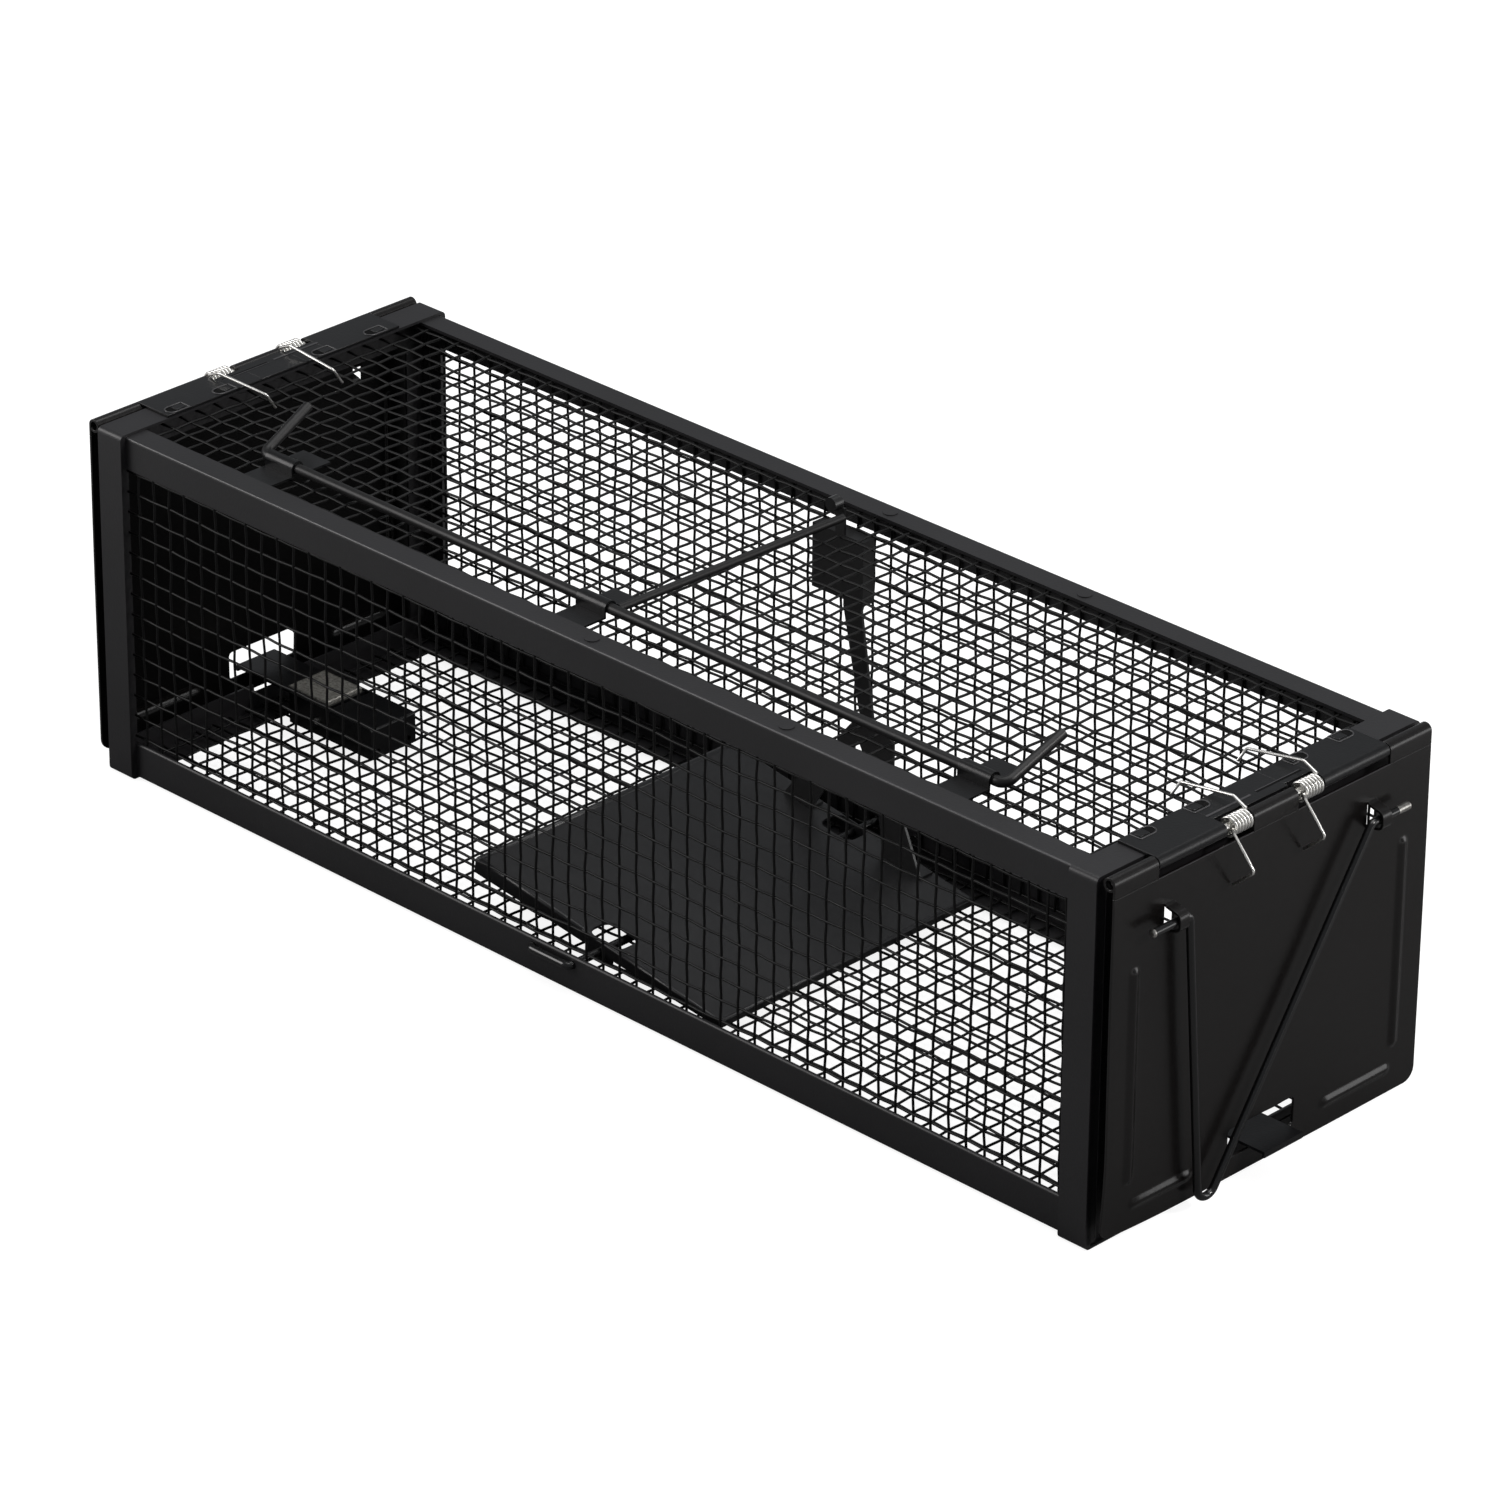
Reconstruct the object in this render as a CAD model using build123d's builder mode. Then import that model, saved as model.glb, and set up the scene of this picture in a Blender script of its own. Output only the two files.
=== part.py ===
from build123d import *
from math import cos, radians, sin
import os

# Two-door live catch trap. X runs along the cage, Y across it, Z up.
# The origin is at the middle of the footprint, on the ground. Millimetres.

os.makedirs("parts", exist_ok=True)

# ---- driving dimensions: cage -------------------------------------------------
LENGTH = 472.0          # over the two end frames
WIDTH = 156.0
HEIGHT = 135.0
SHEET = 1.0             # end frames, doors, brackets and pedal
FRAME_DEPTH = 12.0      # end frame along X
SIDE_LIP, TOP_LIP, BOTTOM_LIP = 11.0, 13.0, 8.0    # end flange behind the door
LIP_BACK = 2.0          # flange's face behind the frame's end
HEM = 2.5               # doubled side edge of an end frame
RAIL_SHEET = 1.2
TOP_RAIL_LEG = 12.2
BOTTOM_RAIL_LEG = 13.1
RAIL_FLAT = 9.5         # horizontal leg of every rail
MESH_WIRE = 1.0
MESH_PITCH = 16.0
MESH_LONG = 464.5
SIDE_COLUMNS, SIDE_ROWS = 29, 8
FLOOR_COLUMNS, FLOOR_ROWS = 28, 9

# ---- driving dimensions: door and hinge ---------------------------------------
HINGE_X = 239.8
HINGE_Z = 133.5
PIN_R = 1.45
PIN_HALF = 74.5
ROLL_INNER = 1.55
ROLL_OUTER = ROLL_INNER + SHEET
DOOR_HALF = 76.5
DOOR_BOTTOM = 4.5
NOTCH_Z = 129.0         # door's upper edge between its knuckles
CENTRE_KNUCKLE = 10.75  # half length of the door's middle knuckle
SPRING_OUT = 23.5       # outer end of a spring coil, from the middle
LEAF_HALF = 55.5        # half length of the fixed leaf
LEAF_IN = 224.2         # inner edge of the fixed leaf
LEAF_CLEAR = 0.35
COIL_R = 3.5
SPRING_WIRE = 1.1
HOLE_LOW, HOLE_HIGH = 11.8, 22.5
HOLE_NEAR, HOLE_FAR = -17.2, 15.0

# ---- driving dimensions: V wire -----------------------------------------------
VWIRE_R = 1.4
VWIRE_OFF = 4.4         # wire centre from the door's outer face
VWIRE_Z = 114.0
STRAP_WIDE = 4.4
STRAP_NEAR, STRAP_FAR = -50.4, 47.6

# ---- driving dimensions: latch ------------------------------------------------
LATCH_PIVOT_X, LATCH_PIVOT_Z = 199.0, 9.0
LATCH_PIN_R = 1.2
LATCH_HALF = 9.4
TONGUE_TOP = 14.9
TONGUE_REACH = {"left": 244.3, "right": 251.4}
LIP_DROP = 1.2
BRACKET_OUT, BRACKET_IN = 214.0, 170.5
BRACKET_HALF = 10.8

# ---- driving dimensions: pedal and trigger ------------------------------------
PIVOT_X, PIVOT_Z = -1.0, 11.0
PIVOT_R = 1.5
STAPLE = 19.0           # axle's outer bend, between its two holes
PEDAL_TILT = 8.6
PEDAL_LIFT = 4.1        # pivot to the pedal's upper face
PEDAL_LEFT, PEDAL_RIGHT = -62.0, 58.0
PEDAL_HALF = 62.5
LEVER_Y = 54.5
ROD_Y, ROD_Z = -53.0, 136.0
ROD_R = 1.9
CROSS_R = 1.5
CLIP_CENTRES = {"left": -166.5, "centre": -12.1, "right": 162.5}
CLIP_LONG = 13.8
CLIP_NEAR, CLIP_FAR = -65.8, -37.6

HALF_X = LENGTH / 2
HALF_Y = WIDTH / 2
RAIL_FACE = HALF_Y - HEM
RAIL_TOP = HEIGHT - SHEET
FRAME_IN = HALF_X - FRAME_DEPTH
RAIL_END = HALF_X - LIP_BACK - SHEET - 0.1
DOOR_OUT = HINGE_X + ROLL_OUTER
DOOR_IN = DOOR_OUT - SHEET
MESH_TOP = RAIL_TOP - RAIL_SHEET
TURN = Axis.Z


def save(part, label):
    part.label = label
    export_step(part, f"parts/{label}.step")


def both_ends(part, name):
    """Writes a right-hand piece and its twin, turned half round, for the left end."""
    save(part, f"right_{name}")
    save(part.rotate(TURN, 180), f"left_{name}")


# ---- cage ---------------------------------------------------------------------
def rail(side, upper):
    """L-section rail: a standing leg on the outside, a flat leg turned inwards."""
    leg = TOP_RAIL_LEG if upper else BOTTOM_RAIL_LEG
    edge = RAIL_TOP if upper else SHEET
    inward = -1 if upper else 1
    with BuildPart() as piece:
        with BuildSketch(Plane.YZ.offset(-RAIL_END)):
            with BuildLine():
                Polyline(
                    (side * RAIL_FACE, edge),
                    (side * (RAIL_FACE - RAIL_FLAT), edge),
                    (side * (RAIL_FACE - RAIL_FLAT), edge + inward * RAIL_SHEET),
                    (side * (RAIL_FACE - RAIL_SHEET), edge + inward * RAIL_SHEET),
                    (side * (RAIL_FACE - RAIL_SHEET), edge + inward * leg),
                    (side * RAIL_FACE, edge + inward * leg),
                    close=True,
                )
            make_face()
        extrude(amount=2 * RAIL_END)
        outer = piece.edges().filter_by(Axis.X).group_by(SortBy.DISTANCE)[-1]
        fillet(outer, 1.0)
        if not upper and side < 0:
            with BuildSketch(Plane.XZ.offset(RAIL_FACE)):
                for x in (PIVOT_X, PIVOT_X - STAPLE):
                    with Locations((x, PIVOT_Z)):
                        Circle(PIVOT_R + 0.1)
            extrude(amount=-RAIL_SHEET, mode=Mode.SUBTRACT)
        if not upper and side > 0:
            with BuildSketch(Plane.XZ.offset(-RAIL_FACE)):
                for x in (PIVOT_X, PIVOT_X + STAPLE):
                    with Locations((x, PIVOT_Z)):
                        Circle(PIVOT_R + 0.1)
            extrude(amount=RAIL_SHEET, mode=Mode.SUBTRACT)
    return piece.part


def end_frame():
    """Collar round the rails' ends, with a flange that faces out of the cage."""
    mid_z = HEIGHT / 2
    with BuildPart() as frame:
        with BuildSketch(Plane.YZ.offset(FRAME_IN)):
            with Locations((0, mid_z)):
                RectangleRounded(WIDTH, HEIGHT, 2.0)
                Rectangle(WIDTH - 2 * HEM, HEIGHT - 2 * SHEET, mode=Mode.SUBTRACT)
        extrude(amount=FRAME_DEPTH)
        mouth_z = (BOTTOM_LIP + HEIGHT - TOP_LIP) / 2
        with BuildSketch(Plane.YZ.offset(HALF_X - LIP_BACK - SHEET)):
            with Locations((0, mid_z)):
                Rectangle(WIDTH - 2, HEIGHT - 1.2)
            with Locations((0, mouth_z)):
                RectangleRounded(WIDTH - 2 * SIDE_LIP, HEIGHT - TOP_LIP - BOTTOM_LIP, 3.0, mode=Mode.SUBTRACT)
        extrude(amount=SHEET)
    return frame.part


def lattice(plane, columns, rows, cut=None):
    """Flat welded mesh: a sheet one wire thick with its square openings cut through."""
    opening = MESH_PITCH - MESH_WIRE
    with BuildPart() as panel:
        with BuildSketch(plane):
            Rectangle(MESH_LONG, rows * MESH_PITCH + MESH_WIRE)
            with GridLocations(MESH_PITCH, MESH_PITCH, columns, rows):
                Rectangle(opening, opening, mode=Mode.SUBTRACT)
            if cut:
                with Locations(cut[0]):
                    Rectangle(*cut[1], mode=Mode.SUBTRACT)
        extrude(amount=MESH_WIRE)
    return panel.part


def mesh_panels():
    middle = HEIGHT / 2 - 0.5
    wall_y = RAIL_FACE - RAIL_SHEET
    near = Plane(origin=(0, -wall_y, middle), x_dir=(1, 0, 0), z_dir=(0, 1, 0))
    far = Plane(origin=(0, wall_y, middle), x_dir=(1, 0, 0), z_dir=(0, -1, 0))
    roof = Plane.XY.offset(MESH_TOP - MESH_WIRE)
    floor = Plane.XY.offset(SHEET + RAIL_SHEET)
    ear_gap = ((-4.5, 52.0), (16.0, 14.0))
    save(lattice(near, SIDE_COLUMNS, SIDE_ROWS), "near_side_mesh")
    save(lattice(far, SIDE_COLUMNS, SIDE_ROWS), "far_side_mesh")
    save(lattice(roof, FLOOR_COLUMNS, FLOOR_ROWS, ear_gap), "top_mesh")
    save(lattice(floor, FLOOR_COLUMNS, FLOOR_ROWS), "bottom_mesh")


def weld_dimples():
    """Shallow pressed spots on the top rails, over the welds that hold the mesh."""
    with BuildPart() as dimples:
        with BuildSketch(Plane.XY.offset(RAIL_TOP)):
            with Locations((4, -70.5), (94, -70.5), (6, 70.5), (96, 70.5)):
                Circle(2.6)
        extrude(amount=0.35)
    return dimples.part


# ---- hinge --------------------------------------------------------------------
def roll_section(slit_angle):
    """Rolled sheet seen end on, with the slit where the sheet's edge stops."""
    with BuildSketch(Plane.XZ) as section:
        with Locations((HINGE_X, HINGE_Z)):
            Circle(ROLL_OUTER)
            Circle(ROLL_INNER, mode=Mode.SUBTRACT)
        mid = (ROLL_INNER + ROLL_OUTER) / 2
        slit = (HINGE_X + mid * cos(radians(slit_angle)), HINGE_Z + mid * sin(radians(slit_angle)))
        with Locations(Location((slit[0], slit[1]), slit_angle)):
            Rectangle(SHEET + 0.6, 0.5, mode=Mode.SUBTRACT)
    return section.sketch


def hinge_leaf():
    """Fixed leaf on the end frame: two rolls on the pin, recessed at the springs and middle knuckle."""
    with BuildPart() as leaf:
        with BuildSketch(Plane.XY.offset(HINGE_Z + ROLL_INNER)):
            with Locations(((LEAF_IN + HINGE_X) / 2, 0)):
                Rectangle(HINGE_X - LEAF_IN, 2 * LEAF_HALF)
            reach = HINGE_X - COIL_R - LEAF_CLEAR
            with Locations(((reach + HINGE_X) / 2, 0)):
                Rectangle(HINGE_X - reach, 2 * SPRING_OUT, mode=Mode.SUBTRACT)
        extrude(amount=SHEET)
        for middle in (-(SPRING_OUT + LEAF_HALF) / 2, (SPRING_OUT + LEAF_HALF) / 2):
            width = LEAF_HALF - SPRING_OUT
            roll = extrude(roll_section(150), amount=width / 2, both=True, mode=Mode.PRIVATE)
            add(roll.translate((0, middle, 0)))
        with BuildSketch(Plane.XY.offset(HINGE_Z + ROLL_OUTER)):
            for y in (-48.0, -23.5, 25.0, 49.0):
                with Locations((228.2, y)):
                    SlotOverall(6.0, 3.4)
                    SlotOverall(4.6, 2.0, mode=Mode.SUBTRACT)
        extrude(amount=0.4)
    return leaf.part


def hinge_pin():
    with BuildPart() as pin:
        with BuildSketch(Plane.XZ.offset(-PIN_HALF)):
            with Locations((HINGE_X, HINGE_Z)):
                Circle(PIN_R)
        extrude(amount=2 * PIN_HALF)
        chamfer(pin.edges(), 0.3)
    return pin.part


def hinge_spring(outer_end):
    """Torsion spring: a coil round the pin, a leg hooked into the mesh, a leg on the door."""
    inner = outer_end - (SPRING_OUT - CENTRE_KNUCKLE) + 0.25
    outer = outer_end - 0.25
    wire = SPRING_WIRE / 2
    mean = COIL_R - wire
    top_y = outer - wire - 0.1
    low_y = inner + wire + 0.1
    tail_y = MESH_PITCH * round((top_y - 4) / MESH_PITCH) + 4
    top = [
        (HINGE_X + 0.6, top_y, HINGE_Z + mean - 0.2),
        (234.0, top_y, 139.2),
        (216.6, tail_y, 135.4),
        (216.0, tail_y, 130.5),
    ]
    foot_x = DOOR_OUT + wire + 0.05
    low = [
        (HINGE_X + mean - 0.1, low_y, HINGE_Z + 0.4),
        (252.6, low_y, 121.8),
        (foot_x, low_y, 114.2),
    ]
    with BuildPart() as spring:
        with BuildSketch(Plane.XZ.offset(-outer)):
            with Locations((HINGE_X, HINGE_Z)):
                Circle(COIL_R)
                Circle(COIL_R - SPRING_WIRE, mode=Mode.SUBTRACT)
        extrude(amount=outer - inner)
        for points in (top, low):
            with BuildLine() as route:
                FilletPolyline(*points, radius=1.2)
            with BuildSketch(Plane(origin=route.line @ 0, z_dir=route.line % 0)):
                Circle(wire)
            sweep(path=route.line)
    return spring.part


# ---- door ---------------------------------------------------------------------
def door():
    """Door sheet with three knuckles rolled from its upper edge, straps, ribs and the tongue's hole."""
    gap_end = LEAF_HALF + LEAF_CLEAR
    height = HINGE_Z - DOOR_BOTTOM
    straps = (STRAP_NEAR, STRAP_FAR)
    knuckles = ((-DOOR_HALF, -gap_end), (-CENTRE_KNUCKLE, CENTRE_KNUCKLE), (gap_end, DOOR_HALF))
    gaps = ((-gap_end, -CENTRE_KNUCKLE), (CENTRE_KNUCKLE, gap_end))
    with BuildPart() as panel:
        with BuildSketch(Plane.YZ.offset(DOOR_IN)):
            with Locations((0, DOOR_BOTTOM + height / 2)):
                Rectangle(2 * DOOR_HALF, height)
            for low, high in gaps:
                with Locations(((low + high) / 2, (NOTCH_Z + HINGE_Z) / 2)):
                    Rectangle(high - low, HINGE_Z - NOTCH_Z, mode=Mode.SUBTRACT)
            with Locations(((HOLE_NEAR + HOLE_FAR) / 2, (HOLE_LOW + HOLE_HIGH) / 2)):
                Rectangle(HOLE_FAR - HOLE_NEAR, HOLE_HIGH - HOLE_LOW, mode=Mode.SUBTRACT)
            for y in straps:
                with Locations((y, VWIRE_Z)):
                    Rectangle(STRAP_WIDE, 9.0, mode=Mode.SUBTRACT)
        extrude(amount=SHEET)
        fillet(panel.edges().filter_by(Axis.X).group_by(Axis.Z)[0], 5.0)
        for low, high in knuckles:
            roll = extrude(roll_section(-35), amount=(high - low) / 2, both=True, mode=Mode.PRIVATE)
            add(roll.translate((0, (low + high) / 2, 0)))
        for y in straps:
            add(strap(y))
        with BuildSketch(Plane.YZ.offset(DOOR_OUT)):
            for y in (-65.5, 64.5):
                with Locations((y, 61.0)):
                    SlotOverall(80.0, 3.6, rotation=90)
            for y in (-49.5, 46.0):
                with Locations((y, 13.8)):
                    SlotOverall(33.0, 3.6)
        extrude(amount=0.7)
    return panel.part


def strap(y):
    """Bridge pressed out of the door, over the end of the V wire."""
    wire_x = DOOR_OUT + VWIRE_OFF
    bore = VWIRE_R + 0.08
    crown = wire_x + bore + SHEET
    with BuildPart(mode=Mode.PRIVATE) as bridge:
        with BuildSketch(Plane.XZ.offset(-y - STRAP_WIDE / 2)):
            with BuildLine():
                Polyline(
                    (DOOR_IN, VWIRE_Z - 5.0), (DOOR_OUT, VWIRE_Z - 5.0), (crown, VWIRE_Z - 2.4),
                    (crown, VWIRE_Z + 2.4), (DOOR_OUT, VWIRE_Z + 5.0), (DOOR_IN, VWIRE_Z + 5.0), close=True,
                )
            make_face()
            with Locations((wire_x, VWIRE_Z)):
                Circle(bore, mode=Mode.SUBTRACT)
            with Locations(((DOOR_IN + wire_x) / 2, VWIRE_Z)):
                Rectangle(wire_x - DOOR_IN, 2 * bore, mode=Mode.SUBTRACT)
        extrude(amount=STRAP_WIDE)
    return bridge.part


def v_wire():
    """Bent wire that hangs on the door; its point hooks on the trigger rod."""
    x = DOOR_OUT + VWIRE_OFF
    with BuildPart() as wire:
        with BuildLine() as route:
            FilletPolyline(
                (x, -63.0, VWIRE_Z), (x, -45.5, VWIRE_Z), (x, -35.6, -2.3), (x, 42.5, VWIRE_Z),
                (x, 60.5, VWIRE_Z), radius=[2.2, 4.5, 2.2],
            )
        with BuildSketch(Plane(origin=route.line @ 0, z_dir=route.line % 0)):
            Circle(VWIRE_R)
        sweep()
    return wire.part


# ---- latch --------------------------------------------------------------------
def latch(reach):
    """Tongue through the door's hole, with side ears on the pivot pin."""
    under = TONGUE_TOP - SHEET
    tail = 195.5
    with BuildPart() as piece:
        with BuildSketch(Plane.XZ.offset(-LATCH_HALF)):
            with BuildLine():
                Polyline(
                    (tail, TONGUE_TOP), (reach, TONGUE_TOP), (reach, under - LIP_DROP),
                    (reach - SHEET, under - LIP_DROP), (reach - SHEET, under), (tail, under), close=True,
                )
            make_face()
        extrude(amount=2 * LATCH_HALF)
        for y in (LATCH_HALF, -LATCH_HALF + SHEET):
            with BuildSketch(Plane.XZ.offset(-y)):
                with BuildLine():
                    Polyline(
                        (tail, TONGUE_TOP), (212.0, TONGUE_TOP), (205.0, LATCH_PIVOT_Z - 3.2),
                        (tail, LATCH_PIVOT_Z - 3.2), close=True,
                    )
                make_face()
                with Locations((LATCH_PIVOT_X, LATCH_PIVOT_Z)):
                    Circle(LATCH_PIN_R + 0.06, mode=Mode.SUBTRACT)
            extrude(amount=SHEET)
    return piece.part


def latch_weight():
    """Plain steel plate on the tongue, which drops it behind the door's edge."""
    with BuildPart() as plate:
        with BuildSketch(Plane.XY.offset(TONGUE_TOP)):
            with Locations((206.5, 0)):
                Rectangle(20.0, 2 * LATCH_HALF - 1.2)
        extrude(amount=1.6)
        chamfer(plate.edges().group_by(Axis.Z)[-1], 0.4)
    return plate.part


def latch_bracket():
    """Folded box on the floor that carries the latch's pin between its side walls."""
    floor = SHEET + RAIL_SHEET + MESH_WIRE
    roof = TONGUE_TOP + 0.2
    cover_end = 193.5
    with BuildPart() as bracket:
        with BuildSketch(Plane.XY.offset(floor)):
            with Locations(((BRACKET_OUT + BRACKET_IN) / 2, 0)):
                Rectangle(BRACKET_OUT - BRACKET_IN, 2 * BRACKET_HALF)
        extrude(amount=roof - floor)
        with BuildSketch(Plane.XY.offset(floor + SHEET)):
            with Locations(((BRACKET_OUT + BRACKET_IN + SHEET) / 2, 0)):
                Rectangle(BRACKET_OUT - BRACKET_IN - SHEET, 2 * (BRACKET_HALF - SHEET))
        extrude(amount=roof - floor - 2 * SHEET, mode=Mode.SUBTRACT)
        with BuildSketch(Plane.XY.offset(roof - SHEET)):
            with Locations(((BRACKET_OUT + cover_end) / 2, 0)):
                Rectangle(BRACKET_OUT - cover_end, 2 * (BRACKET_HALF - SHEET))
        extrude(amount=SHEET, mode=Mode.SUBTRACT)
        with BuildSketch(Plane.XZ.offset(-BRACKET_HALF)):
            with Locations((LATCH_PIVOT_X, LATCH_PIVOT_Z)):
                Circle(LATCH_PIN_R + 0.02)
        extrude(amount=2 * BRACKET_HALF, mode=Mode.SUBTRACT)
        with BuildSketch(Plane.YZ.offset(BRACKET_IN)):
            with Locations((-7.5, floor + 2.6), (7.5, floor + 2.6)):
                Circle(1.0)
        extrude(amount=SHEET, mode=Mode.SUBTRACT)
        fillet(bracket.edges().filter_by(Axis.Y).group_by(Axis.X)[0].group_by(Axis.Z)[-1], 0.8)
    return bracket.part


def latch_pin():
    with BuildPart() as pin:
        with BuildSketch(Plane.XZ.offset(-(BRACKET_HALF + 0.8))):
            with Locations((LATCH_PIVOT_X, LATCH_PIVOT_Z)):
                Circle(LATCH_PIN_R)
        extrude(amount=2 * (BRACKET_HALF + 0.8))
    return pin.part


# ---- pedal and trigger lever ---------------------------------------------------
def pedal_plane(up=0.0):
    """Plane of the tilted pedal through its pivot, raised along its own normal."""
    tilt = radians(PEDAL_TILT)
    normal = Vector(sin(tilt), 0, cos(tilt))
    origin = Vector(PIVOT_X, 0, PIVOT_Z) + normal * up
    return Plane(origin=origin, x_dir=(cos(tilt), 0, -sin(tilt)), z_dir=normal)


def pedal_side(y):
    """Upright plane across the pedal at y, with the pedal's own long axis as x."""
    tilt = radians(PEDAL_TILT)
    return Plane(origin=(PIVOT_X, y, PIVOT_Z), x_dir=(cos(tilt), 0, -sin(tilt)), z_dir=(0, -1, 0))


def pedal_plate():
    """Treadle: a plate with turned-down edges and two bearing tabs bent out of it."""
    long = PEDAL_RIGHT - PEDAL_LEFT
    left_drop, right_drop = 6.0, 2.5
    tab_wide, tab_low, window = 12.0, 3.2, 10.5
    middle = (PEDAL_LEFT + PEDAL_RIGHT) / 2
    with BuildPart() as plate:
        with BuildSketch(pedal_plane(PEDAL_LIFT)):
            with Locations((middle, 0)):
                Rectangle(long, 2 * PEDAL_HALF)
            for side in (-1, 1):
                with Locations((0, side * (PEDAL_HALF - SHEET - window / 2))):
                    RectangleRounded(15.0, window, 3.5, mode=Mode.SUBTRACT)
        extrude(amount=-SHEET)
        for y in (-PEDAL_HALF + SHEET, PEDAL_HALF):
            with BuildSketch(pedal_side(y)):
                with BuildLine():
                    Polyline(
                        (PEDAL_LEFT, PEDAL_LIFT), (PEDAL_LEFT, PEDAL_LIFT - left_drop),
                        (-tab_wide / 2, PEDAL_LIFT - 4.6), (-tab_wide / 2, -tab_low),
                        (tab_wide / 2, -tab_low),
                        (tab_wide / 2, PEDAL_LIFT - 4.4), (PEDAL_RIGHT, PEDAL_LIFT - right_drop),
                        (PEDAL_RIGHT, PEDAL_LIFT), close=True,
                    )
                make_face()
                Circle(PIVOT_R + 0.08, mode=Mode.SUBTRACT)
            extrude(amount=SHEET)
        with BuildSketch(pedal_side(PEDAL_HALF)):
            with Locations((PEDAL_LEFT + SHEET / 2, PEDAL_LIFT - left_drop / 2)):
                Rectangle(SHEET, left_drop)
            with Locations((PEDAL_RIGHT - SHEET / 2, PEDAL_LIFT - right_drop / 2)):
                Rectangle(SHEET, right_drop)
        extrude(amount=2 * PEDAL_HALF)
        tilt = radians(PEDAL_TILT)
        long_way = Vector(cos(tilt), 0, -sin(tilt))
        upper = plate.edges().filter_by(lambda e: abs((e % 0.5).dot(long_way)) > 0.99)
        fillet(upper.group_by(SortBy.LENGTH)[-1].group_by(Axis.Z)[-1], 0.9)
    return plate.part


def trigger_lever():
    """Lever that stands on the pedal: spread legs, a narrow stem and a head with its ear."""
    head_low, head_high = 104.3, 128.6
    head_left, head_right = -15.6, 8.7
    back = 5.5
    face = Plane(origin=(0, LEVER_Y, 0), x_dir=(1, 0, 0), z_dir=(0, 1, 0))

    def flat(x, z):
        return (x, -z)

    def foot_z(x):
        tilt = radians(PEDAL_TILT)
        along = (x - PIVOT_X - PEDAL_LIFT * sin(tilt)) / cos(tilt)
        return PIVOT_Z + PEDAL_LIFT * cos(tilt) - along * sin(tilt) + 0.05

    legs = [(-28.0, foot_z(-28)), (-15.0, foot_z(-15)), (-4.0, 34.0), (3.5, 45.5), (7.6, 52.7),
            (11.5, 45.5), (17.0, 33.0), (20.0, foot_z(20)), (38.0, foot_z(38)), (29.0, 30.0), (24.2, 48.5),
            (24.2, 57.5), (14.4, 62.6), (8.1, 102.5), (8.7, head_low), (head_right, head_high),
            (head_left, head_high), (head_left, head_low), (-0.5, head_low), (-0.5, 102.0), (8.0, 63.0),
            (0.2, 53.5), (-3.3, 47.5), (-20.0, 30.0)]
    with BuildPart() as lever:
        with BuildSketch(face):
            with BuildLine():
                Polyline(*[flat(x, z) for x, z in legs], close=True)
            make_face()
        extrude(amount=SHEET)
        with BuildSketch(Plane.XY.offset(head_high - SHEET)):
            with Locations(((head_left + head_right) / 2, LEVER_Y + back / 2)):
                Rectangle(head_right - head_left, back)
        extrude(amount=SHEET)
        with BuildSketch(Plane.XY.offset(head_low)):
            with Locations((head_right - SHEET / 2, LEVER_Y + back / 2)):
                Rectangle(SHEET, back)
        extrude(amount=head_high - head_low)
        with BuildSketch(face):
            with Locations((-2.6, -(head_high - 1.0 + 138.5) / 2)):
                Rectangle(4.2, 139.5 - head_high)
        extrude(amount=SHEET)
        with BuildSketch(Plane.XZ.offset(-(LEVER_Y + SHEET))):
            with Locations((-4.3, 139.8)):
                Circle(2.6)
        extrude(amount=4.0)
        for start, end in ((-28.0, -15.0), (20.0, 38.0)):
            plane = pedal_plane(PEDAL_LIFT + 0.05)
            low = plane.to_local_coords(Vector(start, 0, foot_z(start))).X
            high = plane.to_local_coords(Vector(end, 0, foot_z(end))).X
            with BuildSketch(plane):
                with Locations(((low + high) / 2, LEVER_Y + 3.2)):
                    Rectangle(high - low, 6.4)
            extrude(amount=SHEET)
    return lever.part


def lever_rivets():
    with BuildPart() as rivets:
        with BuildSketch(pedal_plane(PEDAL_LIFT + 0.05 + SHEET)):
            with Locations((-20.4, LEVER_Y + 3.6), (30.2, LEVER_Y + 3.6)):
                Circle(1.8)
        extrude(amount=0.9)
        chamfer(rivets.edges().group_by(Axis.Z)[-1], 0.3)
    return rivets.part


def pivot_rod():
    """Pedal's axle: each end is bent along its rail and back in through a second hole."""
    out = RAIL_FACE + PIVOT_R + 0.3
    turn = 1.9
    with BuildPart() as rod:
        with BuildLine() as route:
            FilletPolyline(
                (PIVOT_X - STAPLE, -RAIL_FACE + 3.0, PIVOT_Z), (PIVOT_X - STAPLE, -out, PIVOT_Z),
                (PIVOT_X, -out, PIVOT_Z), (PIVOT_X, out, PIVOT_Z),
                (PIVOT_X + STAPLE, out, PIVOT_Z), (PIVOT_X + STAPLE, RAIL_FACE - 3.0, PIVOT_Z), radius=turn,
            )
        with BuildSketch(Plane(origin=route.line @ 0, z_dir=route.line % 0)):
            Circle(PIVOT_R)
        sweep()
    return rod.part


# ---- trigger rod ---------------------------------------------------------------
def trigger_rod():
    """Rod along the roof; its bent ends hold the V wires while the doors are up."""
    with BuildPart() as rod:
        with BuildLine() as route:
            FilletPolyline(
                (-180.6, ROD_Y + 24.5, ROD_Z + 9.2), (-177.0, ROD_Y, ROD_Z), (174.0, ROD_Y, ROD_Z),
                (174.0, ROD_Y + 27.0, ROD_Z + 8.8), radius=3.4,
            )
        with BuildSketch(Plane(origin=route.line @ 0, z_dir=route.line % 0)):
            Circle(ROD_R)
        sweep()
    return rod.part


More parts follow.
